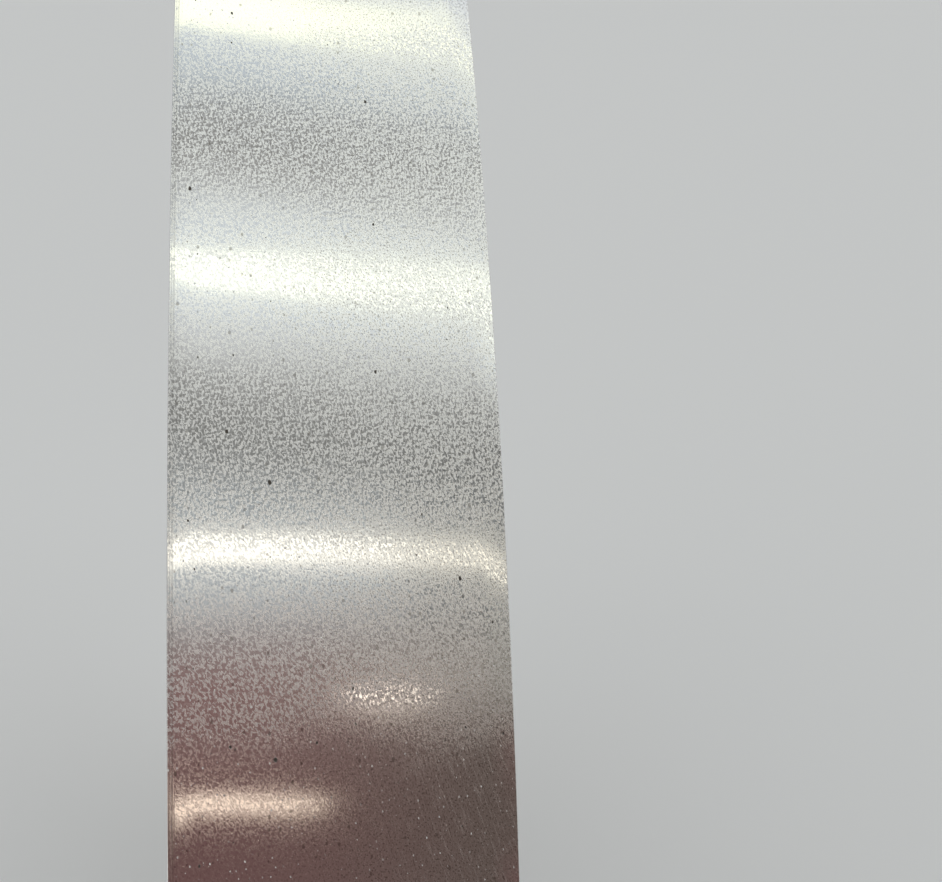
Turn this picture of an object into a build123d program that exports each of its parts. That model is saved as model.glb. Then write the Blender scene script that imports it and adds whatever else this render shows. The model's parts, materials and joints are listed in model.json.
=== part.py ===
from build123d import *

import os
from math import pi, sin

# A coil of slit steel strip: one long strip wound turn on turn round a mandrel. All lengths are in millimetres.

# The strip
STRIP_WIDTH = 60.0
STRIP_GAUGE = 2.0

# The winding
BORE_DIAMETER = 508.0
TURN_COUNT = 173

# The ends. The strip strays to and fro along the axis while it is wound: slowly through the whole winding, and in
# jumps from one band of turns to the next. The edge guides stop it after SIDE_PLAY to each side.
SIDE_PLAY = 1.5
SLOW_STRAY = 1.8
TURNS_PER_SLOW_WAVE = 88.0
BAND_COUNT = 16
BAND_STRAY = 1.65
BANDS_PER_QUICK_WAVE = 2.7

BORE_RADIUS = BORE_DIAMETER / 2
OUTER_RADIUS = BORE_RADIUS + TURN_COUNT * STRIP_GAUGE


def band_start(band):
    """Number of turns below a band. Bands start on a whole turn, and BAND_COUNT itself gives the outer face."""
    return round(band * TURN_COUNT / BAND_COUNT)


def turn_radius(turns_below):
    """Radius of the seam on top of this many turns."""
    return BORE_RADIUS + turns_below * STRIP_GAUGE


def turn_shift(turns_below, band):
    """Place of a turn along the axis: the slow stray plus its band's own, stopped by the edge guides."""
    slow = SLOW_STRAY * sin(2 * pi * turns_below / TURNS_PER_SLOW_WAVE)
    jump = BAND_STRAY * sin(2 * pi * band / BANDS_PER_QUICK_WAVE)
    return max(-SIDE_PLAY, min(SIDE_PLAY, slow + jump))


def end_profile(side):
    """Points of one end, from the bore outwards, as (distance along the axis, radius).

    Every turn is as wide as the strip, so turns that stand proud at one end are as far in at the other.
    """
    points = []
    for band in range(BAND_COUNT):
        for turns_below in (band_start(band), band_start(band + 1)):
            point = (side * STRIP_WIDTH / 2 + turn_shift(turns_below, band), turn_radius(turns_below))
            if not points or point != points[-1]:
                points.append(point)
    return points


def wound_coil():
    """The coil as one turned solid: the section between the bore and the outer face, turned round the X axis."""
    outline = end_profile(-1) + end_profile(+1)[::-1]
    section = make_face(Polyline(*outline, close=True))
    return revolve(section, axis=Axis.X)


def standing(turned):
    """Stands the coil on its outer face: its axis level, from left to right, and its lowest point at Z = 0."""
    return Pos(0, 0, OUTER_RADIUS) * turned


os.makedirs("parts", exist_ok=True)
coil = standing(wound_coil())
coil.label = "coil"
export_step(coil, "parts/coil.step")
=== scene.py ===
"""Looks of a narrow coil of galvanised, slit steel strip, standing on its outer face.

The strip is one long ribbon wound turn on turn. Its outermost turn, its innermost turn and the stretches
of winding between them are closed shells with every turn's slit edge in real geometry; the grain of the
zinc, the lines that rolling and slitting leave and the tone of the sheared edges are procedural
materials.
"""

import json
import logging
import math
from dataclasses import dataclass, field
from enum import Enum

import bpy
import numpy as np
from mathutils import Matrix, Vector


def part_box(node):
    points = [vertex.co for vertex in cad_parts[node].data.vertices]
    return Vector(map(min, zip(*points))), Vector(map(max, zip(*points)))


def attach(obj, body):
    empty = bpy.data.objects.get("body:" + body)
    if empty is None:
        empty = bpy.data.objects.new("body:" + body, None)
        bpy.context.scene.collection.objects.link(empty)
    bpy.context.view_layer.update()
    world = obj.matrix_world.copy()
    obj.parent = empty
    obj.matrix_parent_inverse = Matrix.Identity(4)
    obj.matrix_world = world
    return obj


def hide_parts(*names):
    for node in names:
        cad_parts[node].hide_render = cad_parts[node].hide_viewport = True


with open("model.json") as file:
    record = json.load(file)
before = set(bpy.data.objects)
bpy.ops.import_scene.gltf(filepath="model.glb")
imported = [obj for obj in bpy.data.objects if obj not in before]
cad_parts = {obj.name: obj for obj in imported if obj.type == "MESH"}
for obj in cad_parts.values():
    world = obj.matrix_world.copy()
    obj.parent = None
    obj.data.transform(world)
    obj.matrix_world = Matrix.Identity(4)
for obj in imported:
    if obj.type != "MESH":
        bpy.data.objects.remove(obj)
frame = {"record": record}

LOG = logging.getLogger("steel_coil")
MM = 0.001
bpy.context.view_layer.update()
CHART = "strip_chart"
BODY = "root"
CAD_NODE = "coil"
FULL_CIRCLE = 2.0 * math.pi
NOISE_MIDDLE = 0.5
FLOAT, VECTOR = "NodeSocketFloat", "NodeSocketVector"
QUAD = [(0, 1, 2, 3)]
Socket = bpy.types.NodeSocket
Value = Socket | float | tuple


class Finish(Enum):
    """The finishes that a stretch of winding wears, by their place in its material list."""

    ZINC = 0
    SLIT_EDGE = 1


class Side(Enum):
    """The two ends of the coil, by the sign of X."""

    LEFT = -1
    RIGHT = 1


@dataclass(frozen=True)
class Stray:
    """How far the strip wandered to each side while it was wound, in metres and in turns."""

    guide_play: float = 1.5 * MM
    slow: float = 1.8 * MM
    turns_per_slow_wave: float = 88.0
    bands: int = 16
    jump: float = 1.65 * MM
    bands_per_quick_wave: float = 2.7
    crossing: float = 0.35
    uneven_start: float = 0.4
    flutter: float = 0.12 * MM
    turns_per_flutter: float = 0.3
    turns_per_lean: float = 0.34
    seed: int = 7


@dataclass(frozen=True)
class Winding:
    """The strip as it lies in the coil: a spiral of even pitch, whose turns stray a little to each side.

    A place along the strip is given in turns, counted from its inner end. The strip is `layers` thick on
    one side of its outer end, so its last turn starts at `layers - 2` and ends at `layers - 1`.
    """

    bore_radius: float
    outer_radius: float
    width: float
    axis_height: float
    layers: int = 173
    end_angle: float = math.radians(4.0)
    stray: Stray = field(default_factory=Stray)

    @classmethod
    def from_frame(cls) -> "Winding":
        """Takes the coil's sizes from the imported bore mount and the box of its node.

        Returns:
            The winding.
        """
        bore = next(mount for mount in frame["record"]["mounts"] if mount["name"] == "bore")
        _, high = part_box(CAD_NODE)
        return cls(
            bore_radius=bore["dims"]["r_mm"] * MM,
            outer_radius=high.z - bore["pos_m"][2],
            width=bore["dims"]["length_mm"] * MM,
            axis_height=bore["pos_m"][2],
        )

    @property
    def gauge(self) -> float:
        """Thickness of the strip, which is the pitch of the spiral."""
        return (self.outer_radius - self.bore_radius) / self.layers

    @property
    def outer_middle(self) -> float:
        """The middle of the outermost turn, in turns."""
        return self.layers - 1.5

    def angle(self, turns: np.ndarray) -> np.ndarray:
        """Angle round the axis, from its foot up the back: the end angle plus a full circle a turn."""
        return self.end_angle + FULL_CIRCLE * turns

    def seam_radius(self, turns: np.ndarray) -> np.ndarray:
        """Radius of the strip's inner face: the bore radius plus one gauge for each turn."""
        return self.bore_radius + self.gauge * turns

    def shift(self, turns: np.ndarray) -> np.ndarray:
        """Place of the strip along the axis.

        A slow sine through the winding, plus a step for each band of turns that the strip takes over a
        part of a turn, plus a small flutter from random knots joined by straight lines, stopped by the
        edge guides.

        Args:
            turns: Places along the strip, in turns.

        Returns:
            The distance of the strip's middle from the coil's middle, one for each place.
        """
        stray = self.stray
        draw = np.random.default_rng(stray.seed)
        starts = np.round(np.arange(1, stray.bands) * self.layers / stray.bands)
        starts = starts + draw.uniform(-stray.uneven_start, stray.uneven_start, starts.size)
        jumps = stray.jump * np.sin(FULL_CIRCLE * np.arange(stray.bands) / stray.bands_per_quick_wave)
        knots = np.stack([starts, starts + stray.crossing], axis=1).ravel()
        levels = np.stack([jumps[:-1], jumps[1:]], axis=1).ravel()
        band = np.interp(turns, knots, levels)
        slow = stray.slow * np.sin(FULL_CIRCLE * turns / stray.turns_per_slow_wave)
        knot_turns = np.arange(0.0, self.layers + 1.0, stray.turns_per_flutter)
        flutter = stray.flutter * np.interp(turns, knot_turns, draw.uniform(-1.0, 1.0, knot_turns.size))
        return np.clip(slow + band + flutter, -stray.guide_play, stray.guide_play)

    def lean(self, turns: np.ndarray) -> np.ndarray:
        """How far the slit edge leans: random knots every third of a turn, joined by straight lines.

        Args:
            turns: Places along the strip, in turns.

        Returns:
            The lean from -1 to 1, one for each place.
        """
        draw = np.random.default_rng(self.stray.seed + 1)
        knots = np.arange(0.0, self.layers + 1.0, self.stray.turns_per_lean)
        return np.interp(turns, knots, draw.uniform(-1.0, 1.0, knots.size))

    def length(self, turns: np.ndarray) -> np.ndarray:
        """Length of strip from the outermost turn's middle: the turns between times the circle halfway."""
        middle = self.outer_middle
        return FULL_CIRCLE * (turns - middle) * self.seam_radius((turns + middle) / 2.0)

    def points(self, across: np.ndarray, radius: np.ndarray, turns: np.ndarray) -> np.ndarray:
        """Turns places on the strip into points: X from the shift, then the radius turned by the angle.

        Args:
            across: Distances from the strip's middle, towards its right edge.
            radius: Distances from the axis.
            turns: Places along the strip, which give the shifts and the angles.

        Returns:
            An array whose last dimension is X, Y, Z, and then the strip's own chart: across and along it.
        """
        angle = self.angle(turns)
        parts = [
            across + self.shift(turns),
            radius * np.sin(angle),
            self.axis_height - radius * np.cos(angle),
            across,
            self.length(turns),
        ]
        return np.stack(np.broadcast_arrays(*parts), axis=-1)


def placed(name: str, data: bpy.types.ID) -> bpy.types.Object:
    """Makes an object of a mesh, a light or a camera and links it to the scene.

    Args:
        name: The object's name.
        data: What it is made of.

    Returns:
        The new object.
    """
    made = bpy.data.objects.new(name, data)
    bpy.context.scene.collection.objects.link(made)
    return made


def turned(place: Vector, axes: Matrix) -> Matrix:
    """Gives the transform to a place, with the thing's X, Y and Z along the axes that are given as rows."""
    return Matrix.LocRotScale(place, axes.transposed().to_quaternion(), None)


@dataclass
class Shell:
    """Vertices and four-sided faces of one piece, gathered grid by grid, with a finish for each face."""

    vertices: list = field(default_factory=list)
    faces: list = field(default_factory=list)
    finishes: list = field(default_factory=list)
    count: int = 0

    def add_points(self, points: np.ndarray) -> np.ndarray:
        """Adds a block of points.

        Args:
            points: Points of any grid shape, with X, Y, Z and the strip's chart last.

        Returns:
            The points' numbers in the piece, in the same grid shape.
        """
        flat = points.reshape(-1, points.shape[-1])
        numbers = np.arange(self.count, self.count + len(flat)).reshape(points.shape[:-1])
        self.vertices.append(flat)
        self.count += len(flat)
        return numbers

    def add_band(self, first: np.ndarray, second: np.ndarray, finish: Finish, flip: bool = False) -> None:
        """Fills the strip between two rows of points of the same length with four-sided faces.

        Args:
            first: Numbers of one row of points.
            second: Numbers of the row beside it.
            finish: The finish of these faces.
            flip: Turns the faces over.
        """
        quads = np.stack([first[:-1], first[1:], second[1:], second[:-1]], axis=-1).reshape(-1, 4)
        self.faces.append(quads[:, ::-1] if flip else quads)
        self.finishes.append(np.full(len(quads), finish.value))

    def build(self, name: str, finishes: list) -> bpy.types.Object:
        """Makes the piece's mesh and object.

        Args:
            name: The piece's name.
            finishes: Materials in the order of Finish.

        Returns:
            The new object, linked to the scene.
        """
        points = np.concatenate(self.vertices).astype(np.float32)
        vertices, places = points[:, :3], points[:, 3:]
        faces = np.concatenate(self.faces).astype(np.int32)
        mesh = bpy.data.meshes.new(name)
        mesh.vertices.add(len(vertices))
        mesh.vertices.foreach_set("co", vertices.ravel())
        mesh.loops.add(faces.size)
        mesh.loops.foreach_set("vertex_index", faces.ravel())
        mesh.polygons.add(len(faces))
        mesh.polygons.foreach_set("loop_start", np.arange(0, faces.size, 4, dtype=np.int32))
        mesh.polygons.foreach_set("material_index", np.concatenate(self.finishes).astype(np.int32))
        mesh.update(calc_edges=True)
        chart = mesh.uv_layers.new(name=CHART)
        chart.data.foreach_set("uv", places[faces.ravel()].ravel())
        for material in finishes:
            mesh.materials.append(material)
        return placed(name, mesh)


@dataclass
class WindingStretch:
    """A stretch of the winding as one closed shell: the slit edges at both ends, and a face in and out.

    The stations go round the spiral, `columns` to a turn. At a station an end's outline runs from the
    seam under the turn up to the start of the slit edge, over its crown, and down to the seam on top of
    the turn.
    """

    winding: Winding
    name: str
    first_turn: int
    last_turn: int
    columns: int = 312
    seam_share: float = 0.09
    seam_depth: float = 0.45 * MM
    crown: float = 0.08 * MM
    lean_drop: float = 0.07 * MM

    def edge_rows(self, side: Side, turns: np.ndarray) -> tuple[np.ndarray, ...]:
        """Start, crown and end of the slit edge: both ends drop by the crown, and one more where it leans.

        Args:
            side: The end of the coil.
            turns: The stations' places along the strip, in turns.

        Returns:
            Three rows of points, across the strip's thickness.
        """
        winding = self.winding
        face = side.value * winding.width / 2.0
        lean = winding.lean(turns)
        start = face - side.value * (self.crown + self.lean_drop * np.maximum(lean, 0.0))
        end = face - side.value * (self.crown + self.lean_drop * np.maximum(-lean, 0.0))
        rows = ((start, self.seam_share), (face, 0.5), (end, 1.0 - self.seam_share))
        seam = winding.seam_radius(turns)
        return tuple(winding.points(across, seam + share * winding.gauge, turns) for across, share in rows)

    def seam_row(self, side: Side, turns: np.ndarray) -> np.ndarray:
        """Bottom of the seam between turns: a fixed depth under the lower of the two turns that it parts.

        Args:
            side: The end of the coil.
            turns: The stations' places along the strip, in turns.

        Returns:
            A row of points.
        """
        winding = self.winding
        above = np.minimum(turns, winding.layers - 1.0)
        below = np.maximum(turns - 1.0, 0.0)
        reach = np.minimum(side.value * winding.shift(above), side.value * winding.shift(below))
        face = side.value * (winding.width / 2.0 + reach - self.seam_depth) - winding.shift(turns)
        return winding.points(face, winding.seam_radius(turns), turns)

    def add_end(self, shell: Shell, side: Side) -> tuple[np.ndarray, np.ndarray, np.ndarray]:
        """Adds one end of the stretch.

        Args:
            shell: The shell to add to.
            side: The end of the coil.

        Returns:
            The numbers of the seam's points, and the cut's outline at the first and the last station.
        """
        turn = self.columns
        turns = np.arange(self.first_turn * turn, (self.last_turn + 1) * turn + 1) / turn
        flip = side is Side.RIGHT
        seam = shell.add_points(self.seam_row(side, turns))
        starts, crowns, ends = (shell.add_points(row) for row in self.edge_rows(side, turns[:-turn]))
        under, over = seam[:-turn], seam[turn:]
        rows = (under, starts, crowns, ends, over)
        finishes = (Finish.ZINC, Finish.SLIT_EDGE, Finish.SLIT_EDGE, Finish.ZINC)
        for lower, upper, finish in zip(rows, rows[1:], finishes):
            shell.add_band(lower, upper, finish, flip)
        return seam, *(np.array([row[station] for row in rows]) for station in (0, -1))

    def shell(self) -> Shell:
        """Closes the stretch: two ends, the faces in and out, and the cuts where it starts and ends.

        Returns:
            The closed shell.
        """
        shell = Shell()
        left, left_head, left_tail = self.add_end(shell, Side.LEFT)
        right, right_head, right_tail = self.add_end(shell, Side.RIGHT)
        turn = self.columns
        faces_and_cuts = (
            (left[: turn + 1], right[: turn + 1], True),
            (left[-turn - 1 :], right[-turn - 1 :], False),
            (left_head, right_head, False),
            (left_tail, right_tail, True),
        )
        for first, second, flip in faces_and_cuts:
            shell.add_band(first, second, Finish.ZINC, flip)
        return shell

    def build(self, finishes: list) -> bpy.types.Object:
        """Makes the stretch's object, shaded flat but for the crowned slit edges.

        Args:
            finishes: Materials in the order of Finish.

        Returns:
            The stretch's object.
        """
        shell = self.shell()
        piece = shell.build(self.name, finishes)
        edges = np.concatenate(shell.finishes) == Finish.SLIT_EDGE.value
        piece.data.polygons.foreach_set("use_smooth", edges)
        LOG.info("%s: turns %d to %d, %d faces", self.name, self.first_turn, self.last_turn, edges.size)
        return piece


@dataclass
class FaceTurn:
    """One turn of the strip whose broad face shows: the outermost turn, or the one in the bore.

    Its section is carried along the spiral. The section is a closed loop of rows: the broad faces have
    rows across the width, and the slit edges are rounded over at the corners where the slitting knives
    pulled them. A wave's numbers are its waves to a radian, how far it leans across, and the waves and
    the sway of what bends it.
    """

    winding: Winding
    name: str
    first_turn: int
    columns: int
    rows_across: int
    corner: float = 0.12 * MM
    turned_over: float = 0.3
    ripple: float = 0.0
    long_wave: tuple = (47.0, 1.3, 11.0, 1.9)
    short_wave: tuple = (113.0, -2.2, 29.0, 2.0)
    shares: tuple = (0.65, 0.35)

    def section(self) -> tuple[np.ndarray, np.ndarray, np.ndarray]:
        """The section's rows, from the outer face over the right edge and the inner face to the left edge.

        Returns:
            The place across the width from -1 to 1, the inset from that edge in metres, and the height
            through the gauge from 0 to 1.
        """
        rim = self.corner / self.winding.gauge
        over = self.turned_over
        across_face = np.linspace(-1.0, 1.0, self.rows_across)
        inset_face = np.zeros(self.rows_across)
        inset_face[[0, -1]] = self.corner
        turn_over = np.array([over * self.corner, 0.0, 0.0, over * self.corner])
        edge_height = np.array([1.0 - over * rim, 1.0 - rim, rim, over * rim])
        across = np.concatenate([across_face, np.ones(4), across_face[::-1], -np.ones(4)])
        inset = np.concatenate([inset_face, turn_over, inset_face, turn_over[::-1]])
        broad = np.ones(self.rows_across)
        height = np.concatenate([broad, edge_height, 0.0 * broad, edge_height[::-1]])
        return across, inset, height

    def ripples(self, turns: np.ndarray, across: np.ndarray) -> np.ndarray:
        """Shallow hollows of the broad face: a product of sines along and across it, plus a bent sine.

        Args:
            turns: Places along the strip, in turns.
            across: Places across the width, from -1 to 1.

        Returns:
            Heights from 0 down to twice `ripple`.
        """
        angle = self.winding.angle(turns)
        waves, lean, slow, sway = self.long_wave
        long_wave = np.sin(waves * angle + lean * across) * np.cos(sway * across + slow * angle)
        waves, lean, slow, sway = self.short_wave
        short_wave = np.sin(waves * angle + lean * across + sway * np.sin(slow * angle))
        return -self.ripple * (1.0 + self.shares[0] * long_wave + self.shares[1] * short_wave)

    def build(self, finishes: list) -> bpy.types.Object:
        """Carries the section along the turn, closes both cuts and shades the broad faces smooth.

        Args:
            finishes: Materials in the order of Finish.

        Returns:
            The turn's object.
        """
        winding = self.winding
        across, inset, height = self.section()
        turns = self.first_turn + np.linspace(0.0, 1.0, self.columns + 1)[:, None]
        from_middle = across * (winding.width / 2.0 - inset)
        radius = winding.seam_radius(turns) + height * winding.gauge
        radius = radius + np.where(height == 1.0, self.ripples(turns, across), 0.0)
        shell = Shell()
        grid = shell.add_points(winding.points(from_middle, radius, turns))
        loop = np.append(np.arange(across.size), 0)
        rows = grid[:, loop].T
        edge_rows = (height > 0.0) & (height < 1.0)
        for lower, upper in zip(range(across.size), range(1, across.size + 1)):
            cut = edge_rows[lower] and edge_rows[loop[upper]]
            shell.add_band(rows[lower], rows[upper], Finish.SLIT_EDGE if cut else Finish.ZINC)
        # Each cut is closed between the section's outer and inner half, from the left to the right edge.
        count, rows_end = across.size, self.rows_across
        top = np.concatenate([[count - 2, count - 1], np.arange(rows_end + 2)])
        under = np.arange(count - 3, rows_end + 1, -1)
        for station, flip in ((0, False), (-1, True)):
            ring = grid[station]
            shell.add_band(ring[under], ring[top], Finish.SLIT_EDGE, flip)
        piece = shell.build(self.name, finishes)
        piece.data.shade_smooth()
        LOG.info("%s: %d faces", self.name, len(piece.data.polygons))
        return piece


class Graph:
    """A node tree written as a calculation: each method adds one node and gives back its output."""

    def __init__(self, tree: bpy.types.NodeTree) -> None:
        """Empties the tree and keeps it."""
        tree.nodes.clear()
        self.tree = tree

    def node(self, kind: str, inputs: dict | None = None, **settings: object) -> bpy.types.Node:
        """Adds a node.

        Args:
            kind: The node's type.
            inputs: Its inputs by name or number: an output to link from, or a plain value.
            settings: Its other properties.

        Returns:
            The new node.
        """
        made = self.tree.nodes.new(kind)
        for name, value in settings.items():
            setattr(made, name, value)
        for name, value in (inputs or {}).items():
            if isinstance(value, Socket):
                self.tree.links.new(value, made.inputs[name])
            else:
                made.inputs[name].default_value = value
        return made

    def math(self, operation: str, *values: Value, clamp: bool = False) -> Socket:
        """Adds a Math node over the values, which are outputs or numbers, and gives its result."""
        numbered = dict(enumerate(values))
        return self.node("ShaderNodeMath", numbered, operation=operation, use_clamp=clamp).outputs[0]

    def plus(self, first: Value, second: Value) -> Socket:
        """Adds two values."""
        return self.math("ADD", first, second)

    def minus(self, first: Value, second: Value) -> Socket:
        """Takes the second value from the first."""
        return self.math("SUBTRACT", first, second)

    def times(self, first: Value, second: Value) -> Socket:
        """Multiplies two values."""
        return self.math("MULTIPLY", first, second)

    def over(self, first: Value, second: Value) -> Socket:
        """Divides the first value by the second."""
        return self.math("DIVIDE", first, second)

    def sum_of(self, first: Value, second: Value, third: Value) -> Socket:
        """Multiplies the first value by the second and adds the third."""
        return self.math("MULTIPLY_ADD", first, second, third)

    def ramp(
        self, value: Value, low: float, high: float, to_low: float = 0.0, to_high: Value = 1.0
    ) -> Socket:
        """Maps a value from one range to another with eased ends, clamped, and gives the result."""
        inputs = {0: value, 1: low, 2: high, 3: to_low, 4: to_high}
        return self.node("ShaderNodeMapRange", inputs, interpolation_type="SMOOTHSTEP").outputs[0]

    def blend(self, share: Value, first: Value, second: Value) -> Socket:
        """Mixes two colours by a share from 0 to 1 and gives the colour."""
        inputs = {0: share, 6: first, 7: second}
        return self.node("ShaderNodeMix", inputs, data_type="RGBA").outputs[2]

    def noise(
        self, place: Socket, scale: Value, detail: float = 1.0,
        rough: float = 0.5, warp: float = 0.0, over: str = "2D",
    ) -> Socket:
        """Adds a noise texture at a scale in waves a metre, over a chart or space, and gives its value."""
        inputs = {"Vector": place, "Scale": scale, "Detail": detail, "Roughness": rough, "Distortion": warp}
        return self.node("ShaderNodeTexNoise", inputs, noise_dimensions=over).outputs[0]

    def vector(self, x: Value, y: Value, z: Value = 0.0) -> Socket:
        """Joins three values into a vector."""
        return self.node("ShaderNodeCombineXYZ", {0: x, 1: y, 2: z}).outputs[0]

    def moved(self, place: Socket, step: Socket) -> Socket:
        """Moves a place on a chart by the same step both ways."""
        inputs = {0: place, 1: self.vector(step, step)}
        return self.node("ShaderNodeVectorMath", inputs, operation="ADD").outputs[0]

    def group(self, tree: bpy.types.NodeTree, inputs: dict) -> dict[str, Socket]:
        """Places a node group with its own values and gives its outputs by name."""
        return dict(self.node("ShaderNodeGroup", inputs, node_tree=tree).outputs.items())

    def give(self, values: dict[str, Socket]) -> bpy.types.NodeTree:
        """Links a group's results to its outputs by name and gives the group."""
        self.node("NodeGroupOutput", values)
        return self.tree

    def surface(self, shader: bpy.types.Node, output: str = "ShaderNodeOutputMaterial") -> None:
        """Links a shader to the tree's output."""
        self.node(output, {"Surface": shader.outputs[0]})


def new_group(name: str, inputs: dict[str, tuple], outputs: tuple[str, ...]) -> tuple[Graph, list[Socket]]:
    """Starts a shader node group.

    Args:
        name: The group's name.
        inputs: The kind and the default of each input, by name.
        outputs: The name of each output, which is a value.

    Returns:
        The group's graph, and its inputs' sockets in order.
    """
    tree = bpy.data.node_groups.new(name, "ShaderNodeTree")
    for label, (kind, default) in inputs.items():
        socket = tree.interface.new_socket(label, in_out="INPUT", socket_type=kind)
        if default is not None:
            socket.default_value = default
    for label in outputs:
        tree.interface.new_socket(label, in_out="OUTPUT", socket_type=FLOAT)
    graph = Graph(tree)
    given = graph.node("NodeGroupInput")
    return graph, [given.outputs[label] for label in inputs]


def place_on_strip_group(winding: Winding) -> bpy.types.NodeTree:
    """Tells which turn a point of the coil lies in.

    The angle is the turn of Y and Z round the axis, as a share of a circle from the strip's outer end.
    The number of the turn is the whole part of the gauges from the bore, less that share, and the rest is
    the place through the strip's gauge.

    Args:
        winding: The spiral that the strip follows.

    Returns:
        The group: the distance round and from the axis in metres, the turn's number, the place through.
    """
    outputs = ("Around", "Radius", "Turn", "Through")
    graph, (place,) = new_group("Place on the strip", {"Place": (VECTOR, None)}, outputs)
    split = graph.node("ShaderNodeSeparateXYZ", {0: place}).outputs
    below = graph.minus(winding.axis_height, split["Z"])
    angle = graph.minus(graph.math("ARCTAN2", split["Y"], below), winding.end_angle)
    share = graph.math("FRACT", graph.over(angle, FULL_CIRCLE))
    square = graph.plus(graph.times(split["Y"], split["Y"]), graph.times(below, below))
    radius = graph.math("SQRT", square)
    gauges = graph.over(graph.minus(radius, winding.bore_radius), winding.gauge)
    layers = graph.minus(gauges, share)
    around = graph.times(graph.times(share, FULL_CIRCLE), radius)
    turn, through = graph.math("FLOOR", layers), graph.math("FRACT", layers)
    return graph.give({"Around": around, "Radius": radius, "Turn": turn, "Through": through})


@dataclass(frozen=True)
class GrainGroup:
    """Crawling grain of dipped and rolled zinc: dull worms and the smooth ground between them.

    The worms lie where one noise is over a level, with a soft rim. A finer noise leaves small pores. The
    relief shade is how much higher the noise is here than a part of a wave further on: a painted shade that
    makes one side of each worm lighter and the other darker, as if light fell on it from one side. A noise is
    given as its detail, roughness and distortion.
    """

    worm_noise: tuple = (1.0, 0.35, 0.6)
    worm_rim: float = 0.11
    pore_noise: tuple = (0.0, 0.5, 0.3)
    pore_fineness: float = 1.9
    pore_levels: tuple = (0.36, 0.26)
    step: float = 0.3

    def build(self) -> bpy.types.NodeTree:
        """Builds the group.

        Returns:
            The node group.
        """
        inputs = {"Place": (VECTOR, None), "Scale": (FLOAT, None), "Level": (FLOAT, NOISE_MIDDLE)}
        graph, (place, scale, level) = new_group("Zinc grain", inputs, ("Worms", "Relief", "Pores", "Slope"))
        relief = graph.noise(place, scale, *self.worm_noise)
        fine = graph.noise(place, graph.times(scale, self.pore_fineness), *self.pore_noise)
        worms = graph.ramp(graph.minus(relief, level), -self.worm_rim, self.worm_rim)
        pores = graph.ramp(fine, *self.pore_levels)
        # Painted relief shade: the noise a part of a wave further on, taken from the noise here, lightens one
        # side of each worm and darkens the other.
        beside = graph.moved(place, graph.over(self.step, scale))
        relief_shade = graph.minus(relief, graph.noise(beside, scale, *self.worm_noise))
        return graph.give({"Worms": worms, "Relief": relief, "Pores": pores, "Slope": relief_shade})


@dataclass(frozen=True)
class SpeckGroup:
    """Scattered specks on a chart: a dome of random size at a few of the points of a Voronoi texture.

    A fine noise bends the chart, so that no speck is round. A speck's reach is the size times the sum of
    a random square and `least`. The mask is the dome's whole area. The rise is its height in metres, a
    random share of its reach.
    """

    bend_fineness: float = 11.0
    least: float = 0.35
    mask_rim: float = 0.7

    def build(self) -> bpy.types.NodeTree:
        """Builds the group.

        Returns:
            The node group.
        """
        inputs = {"Place": (VECTOR, None)} | dict.fromkeys(("Scale", "Share", "Size"), (FLOAT, None))
        graph, (place, scale, share, size) = new_group("Specks", inputs, ("Mask", "Rise"))
        bend = graph.noise(place, graph.times(scale, self.bend_fineness))
        bent = graph.moved(place, graph.over(graph.times(graph.minus(bend, NOISE_MIDDLE), size), scale))
        inputs = {"Vector": bent, "Scale": scale}
        cells = graph.node("ShaderNodeTexVoronoi", inputs, voronoi_dimensions="2D").outputs
        pick = graph.node("ShaderNodeSeparateColor", {0: cells["Color"]}).outputs
        chosen = graph.math("LESS_THAN", pick[0], share)
        reach = graph.times(size, graph.plus(graph.math("POWER", pick[1], 2.0), self.least))
        edge = graph.over(cells["Distance"], reach)
        height = graph.times(graph.over(reach, scale), pick[2])
        dome = graph.times(graph.ramp(edge, 1.0, 0.0), height)
        disc = graph.ramp(edge, 1.0, self.mask_rim)
        return graph.give({"Mask": graph.times(disc, chosen), "Rise": graph.times(dome, chosen)})


@dataclass(frozen=True)
class Scatter:
    """How specks lie: the cells to a metre, the share of cells that hold one, and its size in cells."""

    scale: float
    share: float
    size: float

    def place(self, graph: Graph, specks: bpy.types.NodeTree, chart: Socket) -> dict[str, Socket]:
        """Places the specks on a chart and gives their mask and their rise by name."""
        inputs = {"Place": chart, "Scale": self.scale, "Share": self.share, "Size": self.size}
        return graph.group(specks, inputs)


@dataclass
class GroupBook:
    """The node groups that the finishes share, each built once."""

    winding: Winding

    def __post_init__(self) -> None:
        """Builds the groups."""
        self.place = place_on_strip_group(self.winding)
        self.grain = GrainGroup().build()
        self.specks = SpeckGroup().build()


def metal_shader(graph: Graph, color: Socket, roughness: Socket, height: Socket) -> None:
    """Adds the metal shader with its bump and links it to the material's output.

    Args:
        graph: The material's graph.
        color: The colour's output.
        roughness: The roughness's output.
        height: The height's output, in metres.
    """
    bump = graph.node("ShaderNodeBump", {"Height": height, "Distance": 1.0, "Strength": 1.0})
    inputs = {"Base Color": color, "Roughness": roughness, "Metallic": 1.0, "Normal": bump.outputs[0]}
    graph.surface(graph.node("ShaderNodeBsdfPrincipled", inputs))


def new_material(name: str) -> tuple[bpy.types.Material, Graph]:
    """Starts a node material.

    Args:
        name: The material's name.

    Returns:
        The material and its graph.
    """
    material = bpy.data.materials.new(name)
    material.use_nodes = True
    return material, Graph(material.node_tree)


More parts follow.
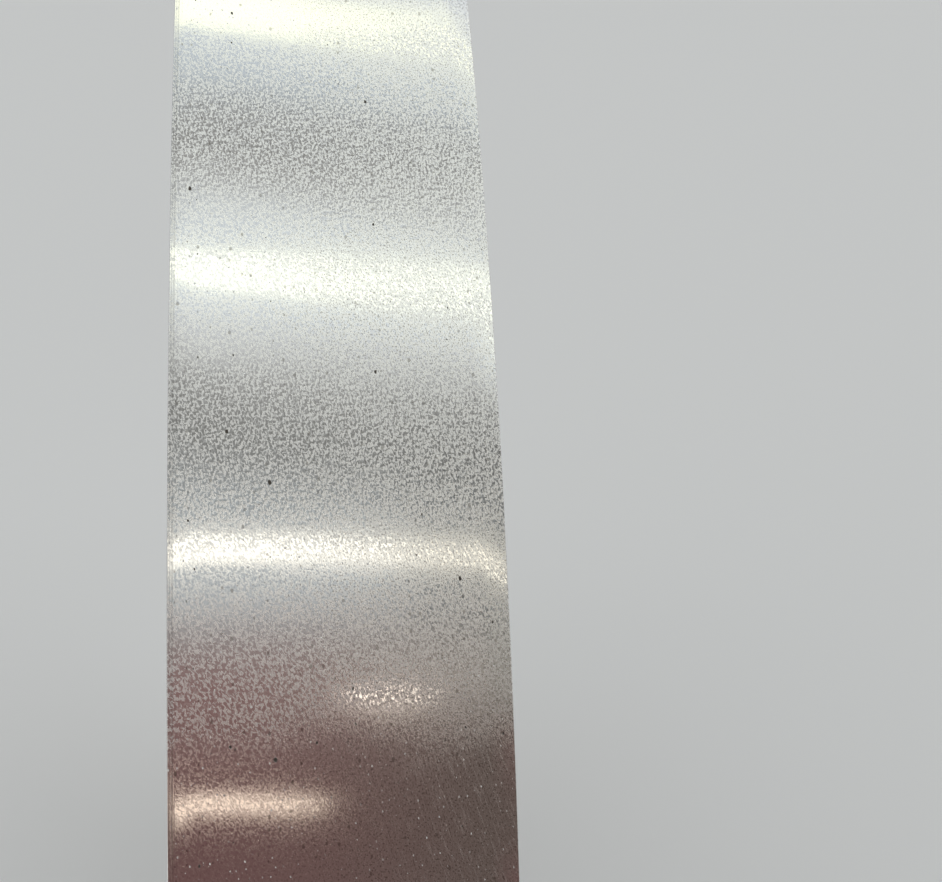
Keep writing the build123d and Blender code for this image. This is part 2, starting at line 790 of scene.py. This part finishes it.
@dataclass(frozen=True)
class Waves:
    """Even waves along the strip: their length, the place of one crest, and how far crests slant across."""

    length: float
    crest: float
    slant: float

    def cosine(self, graph: Graph, across: Socket, along: Socket, bend: Socket) -> Socket:
        """Cosine of the place in a wave: the slanted place less the crest's, over the length, as an angle.

        Args:
            graph: The material's graph.
            across: Distance across the strip.
            along: Distance along the strip.
            bend: Added to the angle, in radians.

        Returns:
            The cosine, which is 1 on a crest.
        """
        slanted = graph.sum_of(across, self.slant, along)
        waves = graph.over(graph.minus(slanted, self.crest), self.length)
        return graph.math("COSINE", graph.plus(graph.times(waves, FULL_CIRCLE), bend))


@dataclass(frozen=True)
class ZincFace:
    """The rolled broad face: bright zinc with a fine crawling grain, pits, and lines from rolls and knives.

    Its patterns follow the strip's own chart, across and along it in metres. The grain is stronger in
    some stretches of the strip than in others. A painted relief shade, a lighter and a darker side on
    each worm as if light fell from one side, is strong over shorter waves, down to `crisp_fade`. A
    painted shade darkens a band along the left edge. The cloud that bends the waves is a noise, given
    as its scale, detail, roughness and distortion, a calm stretch is given as its middle, its reach and
    how much of the grain it takes away, and a knife's line as its distance from the edge in millimetres
    and its strength.
    """

    tone: tuple = (0.945, 0.945, 0.935, 1.0)
    ground: tuple = (0.815, 0.82, 0.815, 1.0)
    # A painted highlight: the lighter side of each worm's painted relief shade.
    crest: tuple = (1.0, 1.0, 0.99, 1.0)
    # Dark tone of pores and dots, and also the painted shade on each worm's darker side.
    pore_and_shaded_side: tuple = (0.48, 0.47, 0.45, 1.0)
    # Dark tone of pits and knife lines, and also the painted shade along the strip's left edge.
    pit_and_edge_shade: tuple = (0.10, 0.09, 0.08, 1.0)
    shine: tuple = (0.94, 0.94, 0.92, 1.0)
    smooth: float = 0.055
    rough: float = 0.28
    right_rise: float = 0.03
    pit_rise: float = 0.3
    sides: tuple = (-25.0 * MM, 25.0 * MM)

    grain_scale: float = 2250.0
    drawn_out: float = 0.70
    lean: float = -math.tan(math.radians(15.0))
    left_level: float = 0.496
    right_level: float = 0.445
    patch_scale: float = 420.0
    patch_depth: float = 0.16
    relief: float = 0.0025 * MM
    left_pores: float = 0.35
    pores_rise: float = 0.6

    strong: Waves = Waves(0.24, 0.4335, 0.26)
    strong_rim: tuple = (-0.4, 0.0)
    calm_grain: float = 0.25
    calm_stretches: tuple = ((0.418, 0.008, 0.35), (0.471, 0.009, 0.65))
    crisp: Waves = Waves(0.0578, 0.3925, -0.085)
    crisp_rim: tuple = (-0.1, 0.7)
    crisp_floor: float = 0.12
    crisp_fade: tuple = (0.478, 0.494)
    cloud: tuple = (25.0, 1.0, 0.4, 0.3)
    strong_bend: float = 0.7
    crisp_bend: float = 1.4
    # The painted relief shade: the slope at which it is full, and the strengths of its painted highlight and
    # its painted shade.
    steepest: float = 0.12
    painted_lit_gain: float = 0.75
    painted_shade_gain: float = 0.45

    pits: Scatter = Scatter(150.0, 0.32, 0.042)
    dots: Scatter = Scatter(520.0, 0.3, 0.13)
    specks: Scatter = Scatter(900.0, 0.7, 0.11)
    pit_slope: float = 0.2
    dot_depth: float = 0.9
    speck_slope: float = 0.27

    scratch_scale: float = 2600.0
    scratch_length: float = 0.08
    scratch_lean: float = -math.tan(math.radians(20.0))
    scratch_levels: tuple = (0.52, 0.70)
    scratch_strength: float = 0.55

    margin: float = 1.3 * MM
    margin_rim: float = 0.7
    margin_rise: float = 0.04
    margin_shade: float = 0.12
    bright_lines: tuple = ((0.18, 0.4), (0.62, 0.3), (1.12, 0.35))
    dark_lines: tuple = ((0.4, 0.15), (0.88, 0.2), (1.5, 0.12))
    line_width: float = 0.12 * MM
    line_height: float = 0.012 * MM

    def build(self, groups: GroupBook) -> bpy.types.Material:
        """Builds the material.

        Args:
            groups: The shared node groups.

        Returns:
            The material.
        """
        material, graph = new_material("zinc_face")
        chart = graph.node("ShaderNodeUVMap", uv_map=CHART).outputs[0]
        split = graph.node("ShaderNodeSeparateXYZ", {0: chart}).outputs
        across, along = split["X"], split["Y"]
        rightward = graph.ramp(across, *self.sides)
        grain = self.grain(graph, groups, across, along, rightward)
        strength, crisp = self.strength(graph, chart, across, along)
        streaks = graph.times(self.scratches(graph, across, along), rightward)
        worms = graph.math("MAXIMUM", graph.times(grain["Worms"], strength), streaks)
        relief_shade = graph.times(grain["Slope"], crisp)
        drawn_chart = graph.vector(across, graph.times(along, self.drawn_out))
        scatters = (self.pits, self.dots, self.specks)
        pits, dots, specks = (scatter.place(graph, groups.specks, drawn_chart) for scatter in scatters)
        inset = graph.plus(across, groups.winding.width / 2.0)
        bright = self.knife_lines(graph, inset, self.bright_lines)
        dark = self.knife_lines(graph, inset, self.dark_lines)
        margin = graph.ramp(inset, self.margin, self.margin_rim * self.margin)
        pores = graph.times(grain["Pores"], graph.ramp(rightward, 0.0, self.pores_rise, self.left_pores))
        color = self.ground
        for share, tone in (
            (worms, self.tone),
            (pores, self.pore_and_shaded_side),
            # Painted relief shade: a painted highlight on one side of each worm, painted shade on the other.
            (graph.ramp(relief_shade, 0.0, self.steepest, 0.0, self.painted_lit_gain), self.crest),
            (graph.ramp(relief_shade, 0.0, -self.steepest, 0.0, self.painted_shade_gain), self.pore_and_shaded_side),
            (graph.times(dots["Mask"], self.dot_depth), self.pore_and_shaded_side),
            (graph.math("MAXIMUM", dark, pits["Mask"]), self.pit_and_edge_shade),
            # Painted shade: a darker band along the strip's left edge.
            (graph.times(margin, self.margin_shade), self.pit_and_edge_shade),
            (bright, self.shine),
        ):
            color = graph.blend(share, color, tone)
        roughness = self.smooth
        for share, rise in (
            (rightward, self.right_rise),
            (worms, self.rough - self.smooth),
            (pits["Mask"], self.pit_rise),
            (margin, self.margin_rise),
        ):
            roughness = graph.sum_of(share, rise, roughness)
        height = graph.times(grain["Relief"], self.relief)
        height = graph.sum_of(bright, self.line_height, height)
        height = graph.sum_of(pits["Rise"], -self.pit_slope, height)
        height = graph.sum_of(specks["Rise"], self.speck_slope, height)
        metal_shader(graph, color, roughness, height)
        return material

    def grain(
        self, graph: Graph, groups: GroupBook, across: Socket, along: Socket, rightward: Socket
    ) -> dict[str, Socket]:
        """Worms drawn out along the strip and leaning a little, in patches, closer towards the right side.

        Args:
            graph: The material's graph.
            groups: The shared node groups.
            across: Distance across the strip.
            along: Distance along the strip.
            rightward: Place across the strip, from 0 to 1, over which the worms grow closer.

        Returns:
            The grain's outputs by name.
        """
        level = graph.ramp(rightward, 0.0, 1.0, self.left_level, self.right_level)
        patches = graph.noise(graph.vector(across, along), self.patch_scale)
        level = graph.sum_of(graph.minus(patches, NOISE_MIDDLE), self.patch_depth, level)
        place = graph.vector(graph.sum_of(along, self.lean, across), graph.times(along, self.drawn_out))
        return graph.group(groups.grain, {"Place": place, "Scale": self.grain_scale, "Level": level})

    def scratches(self, graph: Graph, across: Socket, along: Socket) -> Socket:
        """Fine lines drawn out along the strip and leaning to the left: a stretched noise over a level.

        Args:
            graph: The material's graph.
            across: Distance across the strip.
            along: Distance along the strip.

        Returns:
            The lines' strength.
        """
        sheared = graph.sum_of(along, self.scratch_lean, across)
        place = graph.vector(sheared, graph.times(along, self.scratch_length))
        height = graph.noise(place, self.scratch_scale)
        return graph.ramp(height, *self.scratch_levels, 0.0, self.scratch_strength)

    def strength(self, graph: Graph, chart: Socket, across: Socket, along: Socket) -> tuple[Socket, Socket]:
        """How strong the grain is: cosines along the strip, bent by a slow noise, less a few calm stretches.

        Args:
            graph: The material's graph.
            chart: The strip's chart.
            across: Distance across the strip.
            along: Distance along the strip.

        Returns:
            The share of the worms that shows, and the share of their painted relief shade.
        """
        cloud = graph.minus(graph.noise(chart, *self.cloud), NOISE_MIDDLE)
        wave = self.strong.cosine(graph, across, along, graph.times(cloud, self.strong_bend))
        share = graph.ramp(wave, *self.strong_rim, self.calm_grain, 1.0)
        for middle, reach, fall in self.calm_stretches:
            away = graph.math("ABSOLUTE", graph.minus(along, middle))
            share = graph.times(share, graph.ramp(away, 0.0, reach, 1.0 - fall, 1.0))
        wave = self.crisp.cosine(graph, across, along, graph.times(cloud, self.crisp_bend))
        crisp = graph.ramp(wave, *self.crisp_rim, self.crisp_floor, 1.0)
        return share, graph.times(crisp, graph.ramp(along, *self.crisp_fade, 1.0, self.crisp_floor))

    def knife_lines(self, graph: Graph, inset: Socket, lines: tuple) -> Socket:
        """Lines along the strip near its left edge, each a narrow bell over the distance from it.

        Args:
            graph: The material's graph.
            inset: Distance from the strip's left edge.
            lines: Each line's distance from the edge in millimetres, and its strength.

        Returns:
            The sum of the lines.
        """
        total = 0.0
        for distance, strength in lines:
            offset = graph.math("ABSOLUTE", graph.minus(inset, distance * MM))
            total = graph.sum_of(graph.ramp(offset, self.line_width, 0.0), strength, total)
        return total


@dataclass(frozen=True)
class SlitEdge:
    """The sheared edge of the strip: bare steel, in part burnished by the knife and in part broken.

    The break starts at a place through the gauge that wanders by a noise, given as its scale and detail. Each
    turn has its own darkness.
    """

    burnished: tuple = (0.52, 0.51, 0.50, 1.0)
    broken: tuple = (0.30, 0.29, 0.28, 1.0)
    deep: tuple = (0.16, 0.152, 0.145, 1.0)
    break_start: float = 0.42
    break_wander: float = 0.25
    wander: tuple = (60.0, 2.0)
    break_rim: float = 0.06
    dark_from: float = 0.35
    darkest: float = 0.45
    worm_depth: float = 0.35
    smooth: float = 0.24
    turn_rise: float = 0.08
    broken_rise: float = 0.16
    relief: float = 0.003 * MM
    grain_scale: float = 2600.0

    def build(self, groups: GroupBook) -> bpy.types.Material:
        """Builds the material.

        Args:
            groups: The shared node groups.

        Returns:
            The material.
        """
        material, graph = new_material("slit_edge")
        here = graph.node("ShaderNodeTexCoord").outputs["Object"]
        place = graph.group(groups.place, {"Place": here})
        chart = graph.vector(place["Radius"], place["Around"])
        grain = graph.group(groups.grain, {"Place": chart, "Scale": self.grain_scale})
        wander = graph.noise(here, *self.wander, over="3D")
        split = graph.sum_of(wander, self.break_wander, self.break_start)
        zone = graph.ramp(graph.minus(place["Through"], split), -self.break_rim, self.break_rim)
        own = graph.node("ShaderNodeTexWhiteNoise", {"W": place["Turn"]}, noise_dimensions="1D").outputs[0]
        color = graph.blend(zone, self.burnished, self.broken)
        color = graph.blend(graph.times(graph.ramp(own, self.dark_from, 1.0), self.darkest), color, self.deep)
        color = graph.blend(graph.times(grain["Worms"], self.worm_depth), color, self.deep)
        roughness = graph.sum_of(zone, self.broken_rise, graph.sum_of(own, self.turn_rise, self.smooth))
        metal_shader(graph, color, roughness, graph.times(grain["Relief"], self.relief))
        return material


@dataclass(frozen=True)
class PaleFloor:
    """The studio's plain pale floor."""

    tone: tuple = (0.88, 0.88, 0.87, 1.0)
    dullness: float = 0.7
    reach: float = 150.0

    def build(self) -> None:
        """Builds the floor as one square face under the coil."""
        material, graph = new_material("pale_floor")
        inputs = {"Base Color": self.tone, "Roughness": self.dullness, "Specular IOR Level": 0.0}
        graph.surface(graph.node("ShaderNodeBsdfPrincipled", inputs))
        corners = [(x * self.reach, y * self.reach, 0.0) for x, y in ((-1, -1), (1, -1), (1, 1), (-1, 1))]
        mesh = bpy.data.meshes.new("studio_floor")
        mesh.from_pydata(corners, [], QUAD)
        mesh.materials.append(material)
        floor = placed("studio_floor", mesh)


@dataclass(frozen=True)
class Viewpoint:
    """The camera, close in front of the coil and above its axis, looking down on the outermost turn.

    Its place is given round the coil's axis, and its turns are from a look straight at the axis.
    """

    elevation: float = math.radians(40.0)
    distance: float = 0.7904
    beside: float = -9.51 * MM
    pitch: float = math.radians(-8.87)
    yaw: float = math.radians(9.91)
    roll: float = math.radians(0.89)
    focal_pixels: float = 1064.0
    frame_width: float = 942.0
    frame_height: float = 882.0
    film_width: float = 36.0
    nearest: float = 0.01
    farthest: float = 200.0

    def outward(self) -> Vector:
        """Direction from the coil's axis to the camera."""
        return Vector((0.0, -math.cos(self.elevation), math.sin(self.elevation)))

    def upward(self) -> Vector:
        """Direction round the coil that runs up the picture."""
        return Vector((0.0, math.sin(self.elevation), math.cos(self.elevation)))

    def axes(self) -> Matrix:
        """The camera's axes: the roll after the yaw after the pitch, turned to the coil.

        Returns:
            Its right, up and back as rows.
        """
        basis = Matrix((Vector((1.0, 0.0, 0.0)), self.upward(), self.outward()))
        turn = Matrix.Rotation(self.roll, 3, "Z") @ Matrix.Rotation(self.yaw, 3, "Y")
        return turn @ Matrix.Rotation(self.pitch, 3, "X") @ basis

    def place(self, winding: Winding) -> Vector:
        """Place of the camera: out from the axis by its distance, beside the middle of the outermost turn.

        Args:
            winding: The coil's sizes.

        Returns:
            The place.
        """
        last = float(winding.shift(np.array(winding.outer_middle)))
        middle = Vector((last + self.beside, 0.0, winding.axis_height))
        return middle + self.outward() * self.distance

    def ray(self, column: float, row: float) -> Vector:
        """Direction of the sight line through a point of the picture.

        Args:
            column: Pixels from the picture's left edge.
            row: Pixels from its upper edge.

        Returns:
            The direction, of length 1.
        """
        across = (column - self.frame_width / 2.0) / self.focal_pixels
        up = (self.frame_height / 2.0 - row) / self.focal_pixels
        return (Vector((across, up, -1.0)) @ self.axes()).normalized()

    def build(self, winding: Winding) -> None:
        """Makes the scene's camera.

        Args:
            winding: The coil's sizes.
        """
        data = bpy.data.cameras.new("photo_view")
        data.sensor_fit = "HORIZONTAL"
        data.sensor_width = self.film_width
        data.lens = self.focal_pixels / self.frame_width * self.film_width
        data.clip_start, data.clip_end = self.nearest, self.farthest
        camera = placed("photo_view", data)
        camera.matrix_world = turned(self.place(winding), self.axes())
        bpy.context.scene.camera = camera


def area_light(name: str, width: float, height: float, radiance: float, tint: tuple) -> bpy.types.Object:
    """Makes a soft rectangular light that only mirrors show.

    Args:
        name: The light's name.
        width: Its width.
        height: Its height.
        radiance: How bright its face is, where 1 is white.
        tint: Its colour.

    Returns:
        The light's object, not yet in its place.
    """
    data = bpy.data.lights.new(name, "AREA")
    data.shape = "RECTANGLE"
    data.size, data.size_y = width, height
    data.color = tint
    data.energy = radiance * math.pi * width * height
    light = placed(name, data)
    light.visible_camera = False
    light.visible_diffuse = False
    return light


@dataclass(frozen=True)
class StripLight:
    """A long soft light, placed where the outermost turn mirrors it into the picture.

    Its rows are the pixel rows where its middle shows at the strip's left and right edge, and its depth
    is how many rows it takes up there. Its span is the share of the strip's width that it crosses. It
    faces the point that lies `aim` of the way out from the coil's axis to it.
    """

    name: str
    left_row: float
    right_row: float
    depth: float
    radiance: float
    tint: tuple
    span: tuple = (-1.2, 2.2)
    reach: float = 3.4
    aim: float = 0.18
    left_column: float = 172.0
    right_column: float = 519.0

    def mirrored(self, view: Viewpoint, winding: Winding, share: float, lift: float) -> Vector:
        """Follows a sight line to the outermost turn and on, as the turn's smooth face mirrors it.

        The face is taken as a cylinder: the sight line meets it where its distance from the axis is the
        radius, and its normal there points away from the axis.

        Args:
            view: The camera.
            winding: The coil's sizes.
            share: Place across the strip in the picture, from 0 at its left edge to 1 at its right.
            lift: Rows below the light's middle.

        Returns:
            The point at the light's distance along the mirrored line.
        """
        column = self.left_column + share * (self.right_column - self.left_column)
        row = self.left_row + share * (self.right_row - self.left_row) + lift
        start, line = view.place(winding), view.ray(column, row)
        flat_start = Vector((start.y, start.z - winding.axis_height))
        flat_line = Vector((line.y, line.z))
        half = flat_start.dot(flat_line)
        square = flat_line.dot(flat_line)
        rest = flat_start.dot(flat_start) - winding.outer_radius**2
        hit = start + line * ((-half - math.sqrt(half * half - square * rest)) / square)
        normal = Vector((0.0, hit.y, hit.z - winding.axis_height)).normalized()
        return hit + line.reflect(normal) * self.reach

    def build(self, view: Viewpoint, winding: Winding) -> None:
        """Makes the light: its length from the span's ends, its depth from the rows, facing the strip.

        Args:
            view: The camera.
            winding: The coil's sizes.
        """
        left, right = (self.mirrored(view, winding, share, 0.0) for share in (0.0, 1.0))
        upper, lower = (self.mirrored(view, winding, 0.5, side * self.depth / 2.0) for side in (-1.0, 1.0))
        run = right - left
        start, end = (left + run * share for share in self.span)
        middle = (start + end) / 2.0
        along = run.normalized()
        axis = Vector((middle.x, 0.0, winding.axis_height))
        aim = axis.lerp(middle, self.aim)
        aim.x = 0.0
        towards = (middle - aim).normalized()
        face = (towards - along * towards.dot(along)).normalized()
        up = face.cross(along)
        length, depth = (end - start).length, abs((upper - lower).dot(up))
        light = area_light(self.name, length, depth, self.radiance, self.tint)
        light.matrix_world = turned(middle, Matrix((along, up, face)))
        LOG.info("%s: %.2f by %.2f m at %s", self.name, length, depth, tuple(round(c, 2) for c in middle))


@dataclass(frozen=True)
class SoftBox:
    """A large soft light low beside the coil, which the crowned slit edges mirror."""

    name: str
    place: tuple
    width: float = 1.6
    height: float = 1.3
    radiance: float = 0.7
    tint: tuple = (1.0, 0.98, 0.95)

    def build(self, winding: Winding) -> None:
        """Makes the light, facing the coil's middle.

        Args:
            winding: The coil's sizes.
        """
        light = area_light(self.name, self.width, self.height, self.radiance, self.tint)
        place = Vector(self.place)
        away = (place - Vector((0.0, 0.0, winding.axis_height))).to_track_quat("Z", "Y")
        light.matrix_world = Matrix.LocRotScale(place, away, None)


@dataclass(frozen=True)
class StudioSky:
    """The pale room round the coil: plain, but for soft bands on the wall and ceiling that the coil mirrors.

    Plain tones run over the height of the sight line, from the horizon, 0, to straight up, 1. The bands
    run over the angle up from the horizon before the coil, in degrees, and fade out to the sides.
    """

    plain: tuple = ((0.0, (0.565, 0.575, 0.565)), (0.2, (0.72, 0.72, 0.71)), (1.0, (0.84, 0.84, 0.83)))
    bands: tuple = (
        (28.0, (0.34, 0.31, 0.30)),
        (37.0, (0.375, 0.375, 0.365)),
        (40.0, (0.48, 0.495, 0.50)),
        (43.0, (0.51, 0.535, 0.55)),
        (47.0, (0.50, 0.525, 0.535)),
        (49.5, (0.44, 0.465, 0.475)),
        (52.0, (0.345, 0.35, 0.345)),
        (54.5, (0.28, 0.28, 0.27)),
        (57.5, (0.335, 0.335, 0.325)),
        (60.5, (0.465, 0.465, 0.455)),
        (63.0, (0.66, 0.67, 0.67)),
        (66.0, (0.77, 0.82, 0.85)),
        (73.5, (0.74, 0.79, 0.82)),
        (76.5, (0.645, 0.665, 0.665)),
        (79.0, (0.475, 0.475, 0.465)),
        (81.5, (0.37, 0.37, 0.36)),
        (84.0, (0.435, 0.44, 0.435)),
        (87.0, (0.58, 0.635, 0.675)),
        (92.0, (0.75, 0.80, 0.85)),
        (118.0, (0.84, 0.84, 0.83)),
        (126.0, (0.70, 0.71, 0.71)),
        (133.0, (0.40, 0.40, 0.39)),
        (139.0, (0.36, 0.36, 0.35)),
        (145.0, (0.62, 0.63, 0.63)),
        (151.0, (0.80, 0.81, 0.81)),
        (157.0, (0.55, 0.55, 0.54)),
        (164.0, (0.48, 0.48, 0.47)),
        (172.0, (0.62, 0.62, 0.61)),
    )
    tilt: float = math.radians(9.0)
    fade_start: float = 0.60
    fade_end: float = 0.98
    right_shade: float = 0.42
    shade_sides: tuple = (0.08, 0.135)
    shade_heights: tuple = (math.radians(66.0), math.radians(40.0))
    bands_from: tuple = (0.3, 0.5)
    dark: tuple = (0.0, 0.0, 0.0, 1.0)

    def ramp(self, graph: Graph, share: Socket, stops: list | tuple) -> Socket:
        """Adds a colour ramp.

        Args:
            graph: The world's graph.
            share: The place on the ramp, from 0 to 1.
            stops: Places and tones.

        Returns:
            The ramp's colour.
        """
        made = graph.node("ShaderNodeValToRGB", {0: share})
        elements = made.color_ramp.elements
        for number, (place, tone) in enumerate(stops):
            element = elements[number] if number < len(elements) else elements.new(place)
            element.position = place
            element.color = (*tone, 1.0)
        return made.outputs[0]

    def shading(self, graph: Graph, aside: Socket, angle: Socket) -> Socket:
        """Share of dark in the lower bands towards the right.

        Args:
            graph: The world's graph.
            aside: The sight line's X.
            angle: The sight line's angle up from the horizon before the coil.

        Returns:
            The share.
        """
        lower = graph.ramp(angle, *self.shade_heights)
        sideways = graph.ramp(aside, *self.shade_sides)
        return graph.times(graph.times(lower, sideways), 1.0 - self.right_shade)

    def build(self) -> None:
        """Colours the world: the bands by the turn of the sight line about X, mixed into the plain room."""
        world = bpy.data.worlds.new("studio")
        world.use_nodes = True
        bpy.context.scene.world = world
        graph = Graph(world.node_tree)
        sight = graph.node("ShaderNodeTexCoord").outputs["Generated"]
        line = graph.node("ShaderNodeSeparateXYZ", {0: sight}).outputs
        angle = graph.math("ARCTAN2", line["Z"], graph.times(line["Y"], -1.0))
        angle = graph.sum_of(line["X"], self.tilt, angle)
        bands = [(math.radians(degrees) / math.pi, tone) for degrees, tone in self.bands]
        banded = self.ramp(graph, graph.math("DIVIDE", angle, math.pi, clamp=True), bands)
        banded = graph.blend(self.shading(graph, line["X"], angle), banded, self.dark)
        plain = self.ramp(graph, line["Z"], self.plain)
        aside = graph.ramp(graph.math("ABSOLUTE", line["X"]), self.fade_end, self.fade_start)
        above = graph.ramp(line["Z"], *self.bands_from)
        tone = graph.blend(graph.times(aside, above), plain, banded)
        graph.surface(graph.node("ShaderNodeBackground", {0: tone, 1: 1.0}), "ShaderNodeOutputWorld")


@dataclass(frozen=True)
class DarkScreen:
    """A dark warm screen low before the coil, which the lower part of the outermost turn mirrors.

    It stands square to the line that the strip mirrors from the picture's lower part, and thins out to
    nothing towards its edges. Its angles are heights above the horizon and turns to the right, seen from
    the strip. Its other pairs are shares of its height or width over which one tone or thickness turns to
    the other.
    """

    lowest: float = math.radians(-8.0)
    highest: float = math.radians(42.0)
    side_from: float = math.radians(-28.0)
    side_to: float = math.radians(44.0)
    reach: float = 4.0
    left_upper: tuple = (0.26, 0.160, 0.151, 1.0)
    left_lower: tuple = (0.155, 0.085, 0.081, 1.0)
    left_turn: tuple = (0.55, 0.90)
    right_upper: tuple = (0.34, 0.315, 0.28, 1.0)
    right_lower: tuple = (0.115, 0.088, 0.076, 1.0)
    right_turn: tuple = (0.71, 0.81)
    rightward: tuple = (0.30, 0.52)
    thin_top: tuple = (1.0, 0.81)
    thin_foot: tuple = (0.05, 0.45)
    thin_left: tuple = (0.0, 0.15)
    thin_right: tuple = (1.0, 0.85)

    def build(self, view: Viewpoint, winding: Winding) -> None:
        """Makes the screen as one face whose width and height run over its own UV map.

        Args:
            view: The camera.
            winding: The coil's sizes.
        """
        centre = view.outward() * winding.outer_radius + Vector((0.0, 0.0, winding.axis_height))
        lean = (self.lowest + self.highest) / 2.0
        ahead = Vector((0.0, -math.cos(lean), math.sin(lean)))
        up = Vector((0.0, math.sin(lean), math.cos(lean)))
        half = self.reach * math.tan((self.highest - self.lowest) / 2.0)
        sides = [self.reach * math.tan(angle) for angle in (self.side_from, self.side_to)]
        corners = [
            centre + ahead * self.reach + up * rise * half + Vector((side, 0.0, 0.0))
            for rise, side in ((-1, sides[0]), (-1, sides[1]), (1, sides[1]), (1, sides[0]))
        ]
        mesh = bpy.data.meshes.new("dark_screen")
        mesh.from_pydata(corners, [], QUAD)
        chart = mesh.uv_layers.new(name="chart")
        chart.data.foreach_set("uv", [0.0, 0.0, 1.0, 0.0, 1.0, 1.0, 0.0, 1.0])
        mesh.materials.append(self.cloth())
        screen = placed("dark_screen", mesh)
        screen.visible_camera = False
        screen.visible_diffuse = False
        screen.visible_shadow = False

    def cloth(self) -> bpy.types.Material:
        """Makes the screen's material: a glow from the lower to the upper tone, and see-through at its edges.

        Returns:
            The material.
        """
        material, graph = new_material("dark_screen")
        chart = graph.node("ShaderNodeTexCoord").outputs["UV"]
        split = graph.node("ShaderNodeSeparateXYZ", {0: chart}).outputs
        side, height = split["X"], split["Y"]
        left = graph.blend(graph.ramp(height, *self.left_turn), self.left_lower, self.left_upper)
        right = graph.blend(graph.ramp(height, *self.right_turn), self.right_lower, self.right_upper)
        tone = graph.blend(graph.ramp(side, *self.rightward), left, right)
        solid = graph.times(graph.ramp(side, *self.thin_left), graph.ramp(side, *self.thin_right))
        for thin in (self.thin_top, self.thin_foot):
            solid = graph.times(solid, graph.ramp(height, *thin))
        glow = graph.node("ShaderNodeEmission", {0: tone, 1: 1.0}).outputs[0]
        clear = graph.node("ShaderNodeBsdfTransparent").outputs[0]
        graph.surface(graph.node("ShaderNodeMixShader", {0: solid, 1: clear, 2: glow}))
        return material


@dataclass
class Studio:
    """The pale floor, the soft room, the strip lights and the camera."""

    winding: Winding
    view: Viewpoint = field(default_factory=Viewpoint)
    lights: tuple = (
        StripLight("light_high", 1.0, 46.0, 46.0, 0.75, (1.0, 0.97, 0.50)),
        StripLight("light_upper", 263.0, 293.0, 44.0, 0.88, (1.0, 0.98, 0.65)),
        StripLight("light_front", 546.0, 556.0, 27.0, 1.38, (1.0, 0.91, 0.74)),
        StripLight("light_low_right", 693.0, 695.0, 12.0, 2.1, (1.0, 0.89, 0.77), (0.495, 0.74)),
        StripLight("light_low_left", 806.0, 806.0, 17.0, 1.2, (1.0, 0.83, 0.66), (-0.4, 0.42)),
    )
    boxes: tuple = (
        SoftBox("box_back_right", (2.4, 2.4, 0.9)),
        SoftBox("box_front_left", (-2.4, -2.4, 0.9)),
    )

    def build(self) -> None:
        """Sets up the studio and the plain view transform."""
        PaleFloor().build()
        StudioSky().build()
        DarkScreen().build(self.view, self.winding)
        for light in self.lights:
            light.build(self.view, self.winding)
        for box in self.boxes:
            box.build(self.winding)
        self.view.build(self.winding)
        bpy.context.scene.view_settings.view_transform = "Standard"


@dataclass
class SteelCoil:
    """The whole coil: the outermost turn, the innermost turn and the stretches of winding between them."""

    winding: Winding
    turns_per_stretch: int = 34

    def build(self) -> list[bpy.types.Object]:
        """Builds the pieces with their finishes, hangs each on the body and hides the coil's CAD node.

        Returns:
            The pieces.
        """
        groups = GroupBook(self.winding)
        finishes = [ZincFace().build(groups), SlitEdge().build(groups)]
        last = self.winding.layers - 2
        pieces = [
            FaceTurn(self.winding, "outermost_turn", last, columns=1536, rows_across=13, ripple=0.03 * MM),
            FaceTurn(self.winding, "innermost_turn", 0, columns=768, rows_across=5),
        ]
        for number, first in enumerate(range(1, last, self.turns_per_stretch), start=1):
            end = min(first + self.turns_per_stretch, last)
            pieces.append(WindingStretch(self.winding, f"winding_{number}", first, end))
        pieces = [piece.build(finishes) for piece in pieces]
        for piece in pieces:
            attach(piece, BODY)
            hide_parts(CAD_NODE)
        return pieces


def main() -> None:
    """Builds the coil and the studio and reports each piece."""
    logging.basicConfig(level=logging.INFO, format="%(message)s")
    winding = Winding.from_frame()
    for piece in SteelCoil(winding).build():
        LOG.info("%s rides on %s", piece.name, BODY)
    Studio(winding).build()


if __name__ == "__main__":
    main()
